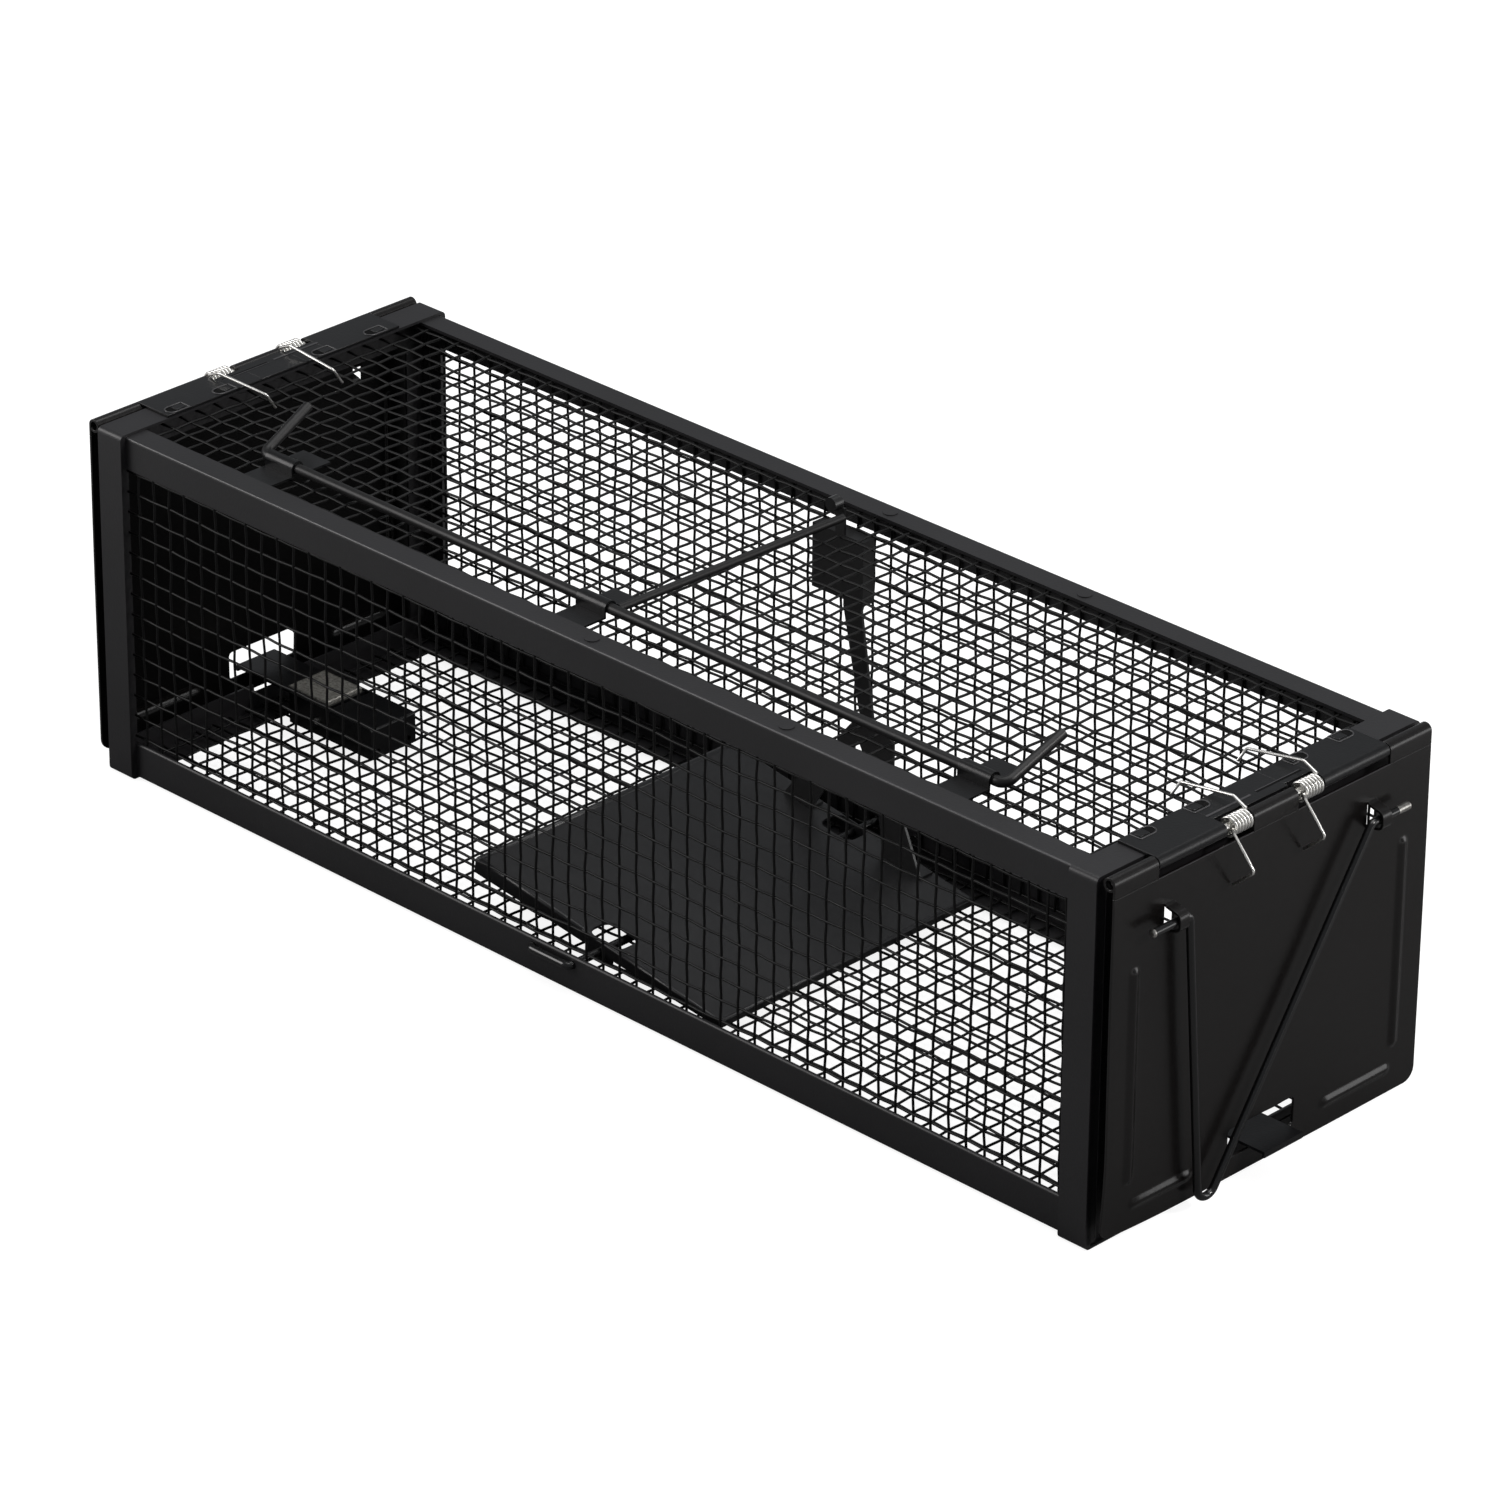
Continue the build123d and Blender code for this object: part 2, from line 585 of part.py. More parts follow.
def cross_rod():
    start = Vector(-3.3, ROD_Y + ROD_R, ROD_Z)
    end = Vector(0.2, 53.0, ROD_Z)
    with BuildPart() as rod:
        with BuildSketch(Plane(origin=start, z_dir=end - start)):
            Circle(CROSS_R)
        extrude(amount=(end - start).length)
    return rod.part


def rod_clip(x):
    """Saddle clip: two flat feet on the mesh and a half-round bridge over the rod."""
    bore = ROD_R + 0.08
    skin = 0.8
    foot = MESH_TOP
    with BuildPart() as clip:
        with BuildSketch(Plane.YZ.offset(x - CLIP_LONG / 2)):
            with Locations(((CLIP_NEAR + CLIP_FAR) / 2, foot + skin / 2)):
                Rectangle(CLIP_FAR - CLIP_NEAR, skin)
            with Locations((ROD_Y, ROD_Z)):
                Circle(bore + skin)
            with Locations((ROD_Y, (foot + ROD_Z) / 2)):
                Rectangle(2 * (bore + skin), ROD_Z - foot)
            with Locations((ROD_Y, ROD_Z)):
                Circle(bore, mode=Mode.SUBTRACT)
            with Locations((ROD_Y, (foot + ROD_Z) / 2)):
                Rectangle(2 * bore, ROD_Z - foot, mode=Mode.SUBTRACT)
        extrude(amount=CLIP_LONG)
    return clip.part


# ---- whole trap ----------------------------------------------------------------
def cage():
    for side, side_name in ((-1, "near"), (1, "far")):
        save(rail(side, True), f"{side_name}_top_rail")
        save(rail(side, False), f"{side_name}_bottom_rail")
    both_ends(end_frame(), "end_frame")
    mesh_panels()
    save(weld_dimples(), "rail_weld_dimples")


def doors():
    both_ends(hinge_leaf(), "hinge_leaf")
    both_ends(hinge_pin(), "hinge_pin")
    both_ends(door(), "door")
    both_ends(v_wire(), "v_wire")
    springs = {"near": -CENTRE_KNUCKLE, "far": SPRING_OUT}
    for place, outer_end in springs.items():
        both_ends(hinge_spring(outer_end), f"{place}_spring")


def latches():
    both_ends(latch_weight(), "latch_weight")
    both_ends(latch_bracket(), "latch_bracket")
    both_ends(latch_pin(), "latch_pin")
    save(latch(TONGUE_REACH["right"]), "right_latch")
    save(latch(TONGUE_REACH["left"]).rotate(TURN, 180), "left_latch")


def trigger():
    save(pedal_plate(), "pedal_plate")
    save(trigger_lever(), "trigger_lever")
    save(lever_rivets(), "lever_rivets")
    save(pivot_rod(), "pedal_pivot_rod")
    save(trigger_rod(), "trigger_rod")
    save(cross_rod(), "cross_rod")
    for place, x in CLIP_CENTRES.items():
        save(rod_clip(x), f"{place}_rod_clip")


cage()
doors()
latches()
trigger()
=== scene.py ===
import math

import bmesh
import bpy
from mathutils import Matrix, Vector, noise


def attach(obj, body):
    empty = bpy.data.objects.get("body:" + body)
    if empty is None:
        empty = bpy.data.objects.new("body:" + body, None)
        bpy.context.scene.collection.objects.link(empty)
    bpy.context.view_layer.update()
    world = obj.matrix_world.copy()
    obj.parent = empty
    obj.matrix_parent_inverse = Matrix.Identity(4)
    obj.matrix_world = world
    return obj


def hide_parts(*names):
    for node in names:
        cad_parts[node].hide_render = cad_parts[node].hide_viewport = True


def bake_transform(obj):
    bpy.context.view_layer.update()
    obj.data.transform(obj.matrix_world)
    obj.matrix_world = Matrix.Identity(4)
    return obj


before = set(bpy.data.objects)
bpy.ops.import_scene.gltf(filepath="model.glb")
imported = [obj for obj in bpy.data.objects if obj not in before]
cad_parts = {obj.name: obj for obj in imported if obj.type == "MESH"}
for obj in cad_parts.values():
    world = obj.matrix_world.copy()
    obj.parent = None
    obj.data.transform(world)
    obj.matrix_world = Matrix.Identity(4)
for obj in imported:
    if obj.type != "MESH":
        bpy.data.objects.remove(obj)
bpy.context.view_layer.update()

MM = 0.001
WARP_SEED = 1
noise.seed_set(WARP_SEED)     # an unseeded noise starts from the clock, so each run would differ
SIDES = (("right", False), ("left", True))     # end of the cage, and whether it is turned half round


# ---- camera -------------------------------------------------------------------
AZIMUTH, ELEVATION, ROLL = math.radians(44.3435), math.radians(27.1334), math.radians(0.463)
AIM, DISTANCE = Vector((8.547, 0.0, 68.93)), 2539.84
SENSOR, FOCAL_WIDTHS = 36.0, 7460.0 / 1500.0     # focal length as a multiple of the picture's width


def make_camera():
    back = Vector((math.sin(AZIMUTH) * math.cos(ELEVATION), -math.cos(AZIMUTH) * math.cos(ELEVATION),
                   math.sin(ELEVATION)))
    right = (-back).cross(Vector((0, 0, 1))).normalized()
    up = right.cross(-back).normalized()
    across = right * math.cos(ROLL) + up * math.sin(ROLL)
    upward = up * math.cos(ROLL) - right * math.sin(ROLL)
    data = bpy.data.cameras.new("camera")
    data.sensor_width = SENSOR
    data.lens = FOCAL_WIDTHS * SENSOR
    data.clip_start, data.clip_end = 0.1, 50.0
    camera = bpy.data.objects.new("camera", data)
    bpy.context.scene.collection.objects.link(camera)
    turn = Matrix((across, upward, back)).transposed().to_4x4()
    camera.matrix_world = Matrix.Translation((AIM + back * DISTANCE) * MM) @ turn
    bpy.context.scene.camera = camera


make_camera()


# ---- materials ----------------------------------------------------------------
def new_material(name):
    m = bpy.data.materials.new(name)
    m.use_nodes = True
    nodes, links = m.node_tree.nodes, m.node_tree.links
    shader = nodes["Principled BSDF"]
    coords = nodes.new("ShaderNodeTexCoord")
    return m, nodes, links, shader, coords


def noise_node(nodes, links, coords, scale, detail=3.0, rough=0.5):
    tex = nodes.new("ShaderNodeTexNoise")
    tex.inputs["Scale"].default_value = scale
    tex.inputs["Detail"].default_value = detail
    tex.inputs["Roughness"].default_value = rough
    links.new(coords.outputs["Object"], tex.inputs["Vector"])
    return tex


def ramp_node(nodes, links, source, low, high, a=0.35, b=0.65):
    ramp = nodes.new("ShaderNodeValToRGB")
    ramp.color_ramp.elements[0].position = a
    ramp.color_ramp.elements[1].position = b
    ramp.color_ramp.elements[0].color = (*low, 1.0)
    ramp.color_ramp.elements[1].color = (*high, 1.0)
    links.new(source.outputs[0], ramp.inputs[0])
    return ramp


def range_node(nodes, links, source, low, high):
    span = nodes.new("ShaderNodeMapRange")
    span.inputs["To Min"].default_value = low
    span.inputs["To Max"].default_value = high
    links.new(source.outputs[0], span.inputs["Value"])
    return span


def powder_coat(name, tone, rough, peel=0.10, spec=0.5, coat=0.0, peel_scale=1100.0):
    """Baked powder coat: near-black, with fine orange peel and a slow drift in gloss."""
    m, nodes, links, shader, coords = new_material(name)
    drift = noise_node(nodes, links, coords, 14.0, 4.0)
    fine = noise_node(nodes, links, coords, peel_scale, 2.0)
    speck = noise_node(nodes, links, coords, 260.0, 3.0, 0.6)
    low = tuple(c * 0.80 for c in tone)
    high = tuple(c * 1.22 for c in tone)
    ramp = ramp_node(nodes, links, drift, low, high, 0.3, 0.7)
    links.new(ramp.outputs["Color"], shader.inputs["Base Color"])
    gloss = range_node(nodes, links, speck, rough - 0.05, rough + 0.06)
    links.new(gloss.outputs["Result"], shader.inputs["Roughness"])
    bump = nodes.new("ShaderNodeBump")
    bump.inputs["Strength"].default_value = peel
    bump.inputs["Distance"].default_value = 0.0004
    links.new(fine.outputs[0], bump.inputs["Height"])
    links.new(bump.outputs["Normal"], shader.inputs["Normal"])
    shader.inputs["Specular IOR Level"].default_value = spec
    shader.inputs["Coat Weight"].default_value = coat
    shader.inputs["Coat Roughness"].default_value = 0.18
    return m


def plated(name, low, high, rough, grain=220.0, peel=0.15, metallic=1.0):
    """Zinc plate: bright, with a fine crystalline grain."""
    m, nodes, links, shader, coords = new_material(name)
    cells = noise_node(nodes, links, coords, grain, 5.0, 0.65)
    ramp = ramp_node(nodes, links, cells, low, high)
    links.new(ramp.outputs["Color"], shader.inputs["Base Color"])
    gloss = range_node(nodes, links, cells, rough - 0.06, rough + 0.10)
    links.new(gloss.outputs["Result"], shader.inputs["Roughness"])
    bump = nodes.new("ShaderNodeBump")
    bump.inputs["Strength"].default_value = peel
    bump.inputs["Distance"].default_value = 0.0002
    links.new(cells.outputs[0], bump.inputs["Height"])
    links.new(bump.outputs["Normal"], shader.inputs["Normal"])
    shader.inputs["Metallic"].default_value = metallic
    return m


RAIL = powder_coat("satin_rail_coat", (0.0105, 0.0100, 0.0110), 0.42, spec=0.45)
POST = powder_coat("satin_frame_coat", (0.0105, 0.0100, 0.0110), 0.40, spec=0.45)
MESH = powder_coat("mesh_coat", (0.0020, 0.0020, 0.0021), 0.40, peel=0.05, spec=0.22)
DOOR = powder_coat("door_coat", (0.0050, 0.0044, 0.0042), 0.24, peel=0.05, spec=0.36)
# Painted shade: a darker, duller copy of the door coat for the door's inner face.
DOOR_INSIDE_SHADE = powder_coat("door_inside_painted_shade", (0.0018, 0.0017, 0.0017), 0.34, peel=0.05, spec=0.10)
LEAF = powder_coat("leaf_coat", (0.0036, 0.0037, 0.0041), 0.30, spec=0.32)
# Painted highlight: a lighter copy of the coat for thin lit lines along rims, folds and edges.
EDGE = powder_coat("painted_edge_highlight", (0.034, 0.033, 0.035), 0.32, peel=0.03, spec=0.6)
ROD = powder_coat("rod_coat", (0.0060, 0.0058, 0.0060), 0.40, peel=0.04, spec=0.30)
# Painted shade: a near-black coat on flat patches where recesses and slits would lie in shade.
RECESS_SHADE = powder_coat("painted_recess_shade", (0.0008, 0.0008, 0.0008), 0.60, peel=0.02, spec=0.10)
WIRE = powder_coat("gloss_wire_coat", (0.0035, 0.0035, 0.0037), 0.20, peel=0.03, spec=0.55)
PEDAL = powder_coat("pedal_coat", (0.0100, 0.0100, 0.0106), 0.34, peel=0.02, spec=0.5)
LEVER = powder_coat("lever_coat", (0.0085, 0.0085, 0.0088), 0.30, peel=0.06, spec=0.5)
ZINC = plated("bright_zinc", (0.66, 0.65, 0.62), (0.80, 0.79, 0.76), 0.26, grain=160.0, peel=0.02)
CUT_END = plated("bare_cut_wire", (0.22, 0.21, 0.20), (0.48, 0.47, 0.44), 0.30, grain=700.0)
PATCH = plated("grey_zinc_plate", (0.16, 0.155, 0.14), (0.42, 0.41, 0.375), 0.46, grain=900.0, peel=0.5,
               metallic=0.75)


# ---- mesh helpers -------------------------------------------------------------
def add_object(name, verts, faces, material, angle=40.0):
    """Smooth-shaded mesh from points in millimetres, sharp where faces meet at more than the angle."""
    data = bpy.data.meshes.new(name)
    data.from_pydata([Vector(v) * MM for v in verts], [], faces)
    data.validate()
    bm = bmesh.new()
    bm.from_mesh(data)
    bmesh.ops.recalc_face_normals(bm, faces=bm.faces)
    bm.to_mesh(data)
    bm.free()
    data.polygons.foreach_set("use_smooth", [True] * len(data.polygons))
    data.set_sharp_from_angle(angle=math.radians(angle))
    data.materials.append(material)
    obj = bpy.data.objects.new(name, data)
    bpy.context.scene.collection.objects.link(obj)
    return obj


def turned(verts, flip):
    """Points of the right-hand end, turned half round for the left-hand one."""
    return [(-v[0], -v[1], v[2]) for v in verts] if flip else [tuple(v) for v in verts]


def rounded(points, radius, steps=6):
    """Polyline with every inner corner replaced by an arc."""
    pts = [Vector(p) for p in points]
    radii = radius if isinstance(radius, (list, tuple)) else [radius] * (len(pts) - 2)
    out = [pts[0]]
    for i in range(1, len(pts) - 1):
        before, here, after = pts[i - 1], pts[i], pts[i + 1]
        a, b = (before - here).normalized(), (after - here).normalized()
        half = a.angle(b) / 2
        shorter = min((before - here).length, (after - here).length)
        reach = min(radii[i - 1] / math.tan(half), shorter * 0.49)
        r = reach * math.tan(half)
        centre = here + (a + b).normalized() * (r / math.sin(half))
        start, end = here + a * reach - centre, here + b * reach - centre
        axis = start.cross(end).normalized()
        swing = start.angle(end)
        for k in range(steps + 1):
            out.append(centre + Matrix.Rotation(swing * k / steps, 3, axis) @ start)
    out.append(pts[-1])
    return out


CAP_RADIUS, CAP_RISE = 0.62, 0.28     # a bar's domed end, as parts of its radius


def tube(path, radius, sides=10, caps=True):
    """Round bar along a polyline, as (verts, faces)."""
    pts = [Vector(p) for p in path]
    count = len(pts)
    heading = [(pts[min(i + 1, count - 1)] - pts[max(i - 1, 0)]).normalized() for i in range(count)]
    seed = Vector((0, 0, 1)) if abs(heading[0].z) < 0.9 else Vector((1, 0, 0))
    normal = heading[0].cross(seed).normalized()
    verts, faces = [], []
    for i, p in enumerate(pts):
        normal = (normal - heading[i] * normal.dot(heading[i])).normalized()
        side = heading[i].cross(normal)
        stretch = 1.0
        if 0 < i < count - 1:
            a, b = (pts[i] - pts[i - 1]).normalized(), (pts[i + 1] - pts[i]).normalized()
            stretch = 1.0 / max(0.5, math.cos(a.angle(b, 0.0) / 2))
        for k in range(sides):
            t = 2 * math.pi * k / sides
            verts.append(p + (normal * math.cos(t) + side * math.sin(t)) * radius * stretch)
    for i in range(count - 1):
        for k in range(sides):
            n = (k + 1) % sides
            faces.append((i * sides + k, i * sides + n, (i + 1) * sides + n, (i + 1) * sides + k))
    if caps:
        for end, step in ((0, -1), (count - 1, 1)):
            base = len(verts)
            rise = heading[end] * step * radius * CAP_RISE
            for k in range(sides):
                verts.append(pts[end] + (verts[end * sides + k] - pts[end]) * CAP_RADIUS + rise)
            for k in range(sides):
                n = (k + 1) % sides
                faces.append((end * sides + k, end * sides + n, base + n, base + k))
            faces.append(tuple(base + k for k in range(sides)))
    return verts, faces


def join(parts):
    verts, faces = [], []
    for v, f in parts:
        base = len(verts)
        verts.extend(v)
        faces.extend(tuple(base + i for i in face) for face in f)
    return verts, faces


def bent_sheet(path, thick, low, high):
    """Sheet bent along a path in the XZ plane and drawn out along Y, closed all round."""
    pts = [Vector(p) for p in path]
    count = len(pts)
    outer, inner = [], []
    for i, p in enumerate(pts):
        before = (p - pts[i - 1]).normalized() if i else (pts[1] - p).normalized()
        after = (pts[i + 1] - p).normalized() if i < count - 1 else before
        way = (before + after).normalized()
        normal = way.cross(Vector((0, 1, 0)))
        reach = thick / 2 / max(0.5, way.dot(before))
        outer.append(p + normal * reach)
        inner.append(p - normal * reach)
    verts = [Vector((p.x, y, p.z)) for y in (low, high) for line in (outer, inner) for p in line]
    faces = []
    for i in range(count - 1):
        faces.append((i, i + 1, 2 * count + i + 1, 2 * count + i))
        faces.append((count + i, count + i + 1, 3 * count + i + 1, 3 * count + i))
        faces.append((i, i + 1, count + i + 1, count + i))
        faces.append((2 * count + i, 2 * count + i + 1, 3 * count + i + 1, 3 * count + i))
    for i in (0, count - 1):
        faces.append((i, count + i, 3 * count + i, 2 * count + i))
    return verts, faces


def arc(centre, radius, start, end, steps):
    """Points of an arc in the XZ plane, angles in degrees."""
    out = []
    for i in range(steps + 1):
        t = math.radians(start + (end - start) * i / steps)
        out.append(Vector((centre[0] + radius * math.cos(t), 0, centre[1] + radius * math.sin(t))))
    return out


def box(low, high):
    """Plain block between two corners, for strips that carry a fold or a seam."""
    (x0, y0, z0), (x1, y1, z1) = low, high
    verts = [(x, y, z) for z in (z0, z1) for x, y in ((x0, y0), (x1, y0), (x1, y1), (x0, y1))]
    return verts, [(3, 2, 1, 0), (4, 5, 6, 7), (0, 1, 5, 4), (1, 2, 6, 5), (2, 3, 7, 6), (3, 0, 4, 7)]


def build(name, parts, material, flip=False, angle=30.0):
    """One object from several (verts, faces) shapes."""
    verts, faces = join(parts)
    return add_object(name, turned(verts, flip), faces, material, angle)


def soften(obj, width):
    mod = obj.modifiers.new("edge", "BEVEL")
    mod.width = width * MM
    mod.segments = 2
    mod.limit_method = "ANGLE"
    mod.angle_limit = math.radians(40.0)


def place(obj, body, slot, node=None):
    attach(obj, body)
    if node:
        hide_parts(node)


def dress(material, *nodes):
    """Gives CAD nodes their material."""
    for node in nodes:
        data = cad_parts[node].data
        data.materials.clear()
        data.materials.append(material)


dress(RAIL, "near_top_rail", "far_top_rail", "near_bottom_rail", "far_bottom_rail", "rail_weld_dimples")
dress(MESH, "near_side_mesh", "far_side_mesh", "top_mesh", "bottom_mesh")
dress(PEDAL, "pedal_plate")
dress(LEVER, "trigger_lever", "lever_rivets")
dress(WIRE, "pedal_pivot_rod")
dress(ROD, "trigger_rod", "cross_rod")
dress(LEAF, "centre_rod_clip")
for side, flip in SIDES:
    dress(POST, f"{side}_end_frame")
    dress(DOOR, f"{side}_door")
    dress(WIRE, f"{side}_v_wire")
    dress(PATCH, f"{side}_latch_weight")
    dress(LEAF, f"{side}_hinge_leaf", f"{side}_latch", f"{side}_latch_bracket", f"{side}_rod_clip")
    dress(ZINC, f"{side}_hinge_pin", f"{side}_latch_pin", f"{side}_near_spring", f"{side}_far_spring")


# ---- welded mesh --------------------------------------------------------------
PITCH = 8.0
WIRE_R = 0.48
CRIMP = 0.16                     # how far a wire bends over and under the ones it crosses
WIRE_END = 0.5                   # how far the upright wires run past the outermost ones
SLOW_WAVE, QUICK_WAVE = 46.0, 13.0
QUICK_PUSH = 0.22


def mesh_panel(name, node, u_lines, v_lines, to_world, seed, bulge, wander=0.75, cut=None):
    """Woven square mesh: lines along u at each v, lines along v at each u, all pushed by one slow warp."""
    u0, u1 = u_lines[0] - PITCH / 2, u_lines[-1] + PITCH / 2
    v0, v1 = v_lines[0] - WIRE_END, v_lines[-1] + WIRE_END

    def warp(u, v, side):
        slow = noise.noise_vector(Vector((u / SLOW_WAVE, v / SLOW_WAVE, seed)))
        quick = noise.noise_vector(Vector((u / QUICK_WAVE, v / QUICK_WAVE, seed + 9.0)))
        edge = min(1.0, (u - u0) / 20.0, (u1 - u) / 20.0, (v - v0) / 14.0, (v1 - v) / 14.0)
        edge = max(0.0, edge)
        du = (slow.x * wander + quick.x * QUICK_PUSH) * edge
        dv = (slow.y * wander + quick.y * QUICK_PUSH) * edge
        return to_world(u + du, v + dv, side + slow.z * bulge * edge)

    def run(start, end, fixed, along_u, parity):
        steps = max(2, round((end - start) / PITCH * 4))
        out = []
        for i in range(steps + 1):
            s = start + (end - start) * i / steps
            phase = math.cos(math.pi * (s - (u_lines[0] if along_u else v_lines[0])) / PITCH)
            side = CRIMP * phase * parity
            out.append(warp(s, fixed, side) if along_u else warp(fixed, s, side))
        return tube(out, WIRE_R, 6, False)

    def spans(low, high, fixed, along_u):
        if cut:
            (a0, a1), (b0, b1) = (cut if along_u else cut[::-1])
            if b0 < fixed < b1:
                return [(low, a0), (a1, high)]
        return [(low, high)]

    parts = []
    for j, v in enumerate(v_lines):
        for low, high in spans(u0, u1, v, True):
            parts.append(run(low, high, v, True, 1 if j % 2 else -1))
    for i, u in enumerate(u_lines):
        for low, high in spans(v0, v1, u, False):
            parts.append(run(low, high, u, False, -1 if i % 2 else 1))
    place(build(name, parts, MESH, angle=80), "cage", "mesh_coat", node)


def lines(first, count):
    return [first + PITCH * i for i in range(count)]


COLUMNS = lines(-228.0, 58)
FLOOR_ROWS, WALL_ROWS = lines(-72.0, 19), lines(8.0, 16)
ROOF_Z, FLOOR_Z, WALL_Y = 132.2, 3.0, 73.6
EAR_SLOT = ((-11.5, 4.5), (47.0, 57.5))     # cut in the roof mesh for the trigger lever's ear
mesh_panel("roof_mesh_wires", "top_mesh", COLUMNS, FLOOR_ROWS,
           lambda u, v, w: (u, v, ROOF_Z + w), 1.7, 0.25, 1.3, cut=EAR_SLOT)
mesh_panel("floor_mesh_wires", "bottom_mesh", COLUMNS, FLOOR_ROWS,
           lambda u, v, w: (u, v, FLOOR_Z + w), 5.1, 0.3)
mesh_panel("near_mesh_wires", "near_side_mesh", COLUMNS, WALL_ROWS,
           lambda u, v, w: (u, -WALL_Y - w, v), 8.3, 0.5, 1.0)
mesh_panel("far_mesh_wires", "far_side_mesh", COLUMNS, WALL_ROWS,
           lambda u, v, w: (u, WALL_Y + w, v), 12.9, 0.5)


# ---- torsion springs ----------------------------------------------------------
HINGE_X, HINGE_Z = 239.8, 133.5
COIL_R, SPRING_R, COIL_PITCH = 2.95, 0.55, 1.46


def spring(node, y_low, y_high, tail_y, tail_z, hook, flip):
    """Coil round the hinge pin, with a hooked tail on the roof mesh and a leg on the door."""
    top, front = math.radians(90), math.radians(8)
    turns = (y_high - y_low) / COIL_PITCH
    swing = round(turns) * 2 * math.pi - (top - front)
    steps = 26 * round(turns)
    coil = []
    for i in range(steps + 1):
        t = i / steps
        angle = top + swing * t
        coil.append(Vector((HINGE_X + COIL_R * math.cos(angle), y_high + (y_low - y_high) * t,
                            HINGE_Z + COIL_R * math.sin(angle))))
    tail = rounded([(211.6, tail_y - 3.8, tail_z - hook), (212.0, tail_y, tail_z),
                    (233.6, y_high + 0.15, 138.9), (HINGE_X - 0.7, y_high, HINGE_Z + COIL_R + 0.05)],
                   [0.9, 2.6], 5)
    leg = rounded([(HINGE_X + COIL_R + 0.1, y_low, HINGE_Z - 1.2), (252.0, y_low, 121.9),
                   (243.3, y_low + 0.2, 114.4)], [1.2], 5)
    obj = build(f"{node}_coil", [tube(tail + coil[1:] + leg, SPRING_R)], ZINC, flip, 60)
    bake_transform(obj)
    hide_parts(node)


for side, flip in SIDES:
    hook = 6.0 if flip else 3.2
    spring(f"{side}_near_spring", -21.2, -11.4, -12.0, 136.1, hook, flip)
    spring(f"{side}_far_spring", 13.0, 22.8, 20.0, 136.5, hook, flip)


# ---- doors --------------------------------------------------------------------
DOOR_IN, DOOR_OUT, SHEET = 241.35, 242.35, 1.0
DOOR_MID = (DOOR_IN + DOOR_OUT) / 2
DOOR_HALF, DOOR_BOTTOM, DOOR_TOP = 76.5, 4.5, 129.0
LEAF_HALF, KNUCKLE_HALF, LEAF_GAP = 55.5, 10.75, 0.35
ROLL_MID = 2.05
HOLE = ((-17.2, 15.0), (11.8, 22.5))
STRAPS, STRAP_HALF = (-50.4, 47.6), 2.2
WINDOW = (109.9, 118.1)
WIRE_X, WIRE_Z, V_WIRE_R = 246.75, 114.0, 1.4
CORNER_R, HOLE_R = 5.0, 1.5
TWIST, WAVE = 2.3, 0.35          # the sheet's lower near corner bends in, and the whole sheet waves
RIB_R, RIB_HIGH = 2.8, 1.05
RIBS = (((-65.75, 24.6), (-65.75, 99.0)), ((64.25, 23.6), (64.25, 97.4)),
        ((-61.9, 14.0), (-37.1, 14.0)), ((30.6, 14.0), (61.0, 14.0)))


def grid_lines(*runs):
    """Sorted lines of a grid, from single values and (start, end, cells) runs."""
    values = set()
    for run in runs:
        if isinstance(run, tuple):
            start, end, cells = run
            values.update(round(start + (end - start) * i / cells, 4) for i in range(cells + 1))
        else:
            values.add(round(run, 4))
    return sorted(values)


def rib_height(y, z):
    """Height of the pressed ribs: soft half rounds that die out at both ends."""
    height = 0.0
    for start, end in RIBS:
        p, a, b = Vector((y, z)), Vector(start), Vector(end)
        t = max(0.0, min(1.0, (p - a).dot(b - a) / (b - a).length_squared))
        d = (p - a - (b - a) * t).length
        if d < RIB_R:
            height = max(height, RIB_HIGH * math.cos(math.pi / 2 * d / RIB_R) ** 2)
    return height


def round_corner(y, z, corner, inward, radius):
    """Moves a grid point beside a square corner onto circles about the corner's arc centre."""
    cy, cz = corner[0] + inward[0] * radius, corner[1] + inward[1] * radius
    dy, dz = y - cy, z - cz
    if dy * inward[0] >= 0 or dz * inward[1] >= 0 or max(abs(dy), abs(dz)) > radius + 0.001:
        return y, z
    scale = max(abs(dy), abs(dz)) / math.hypot(dy, dz)
    return cy + dy * scale, cz + dz * scale


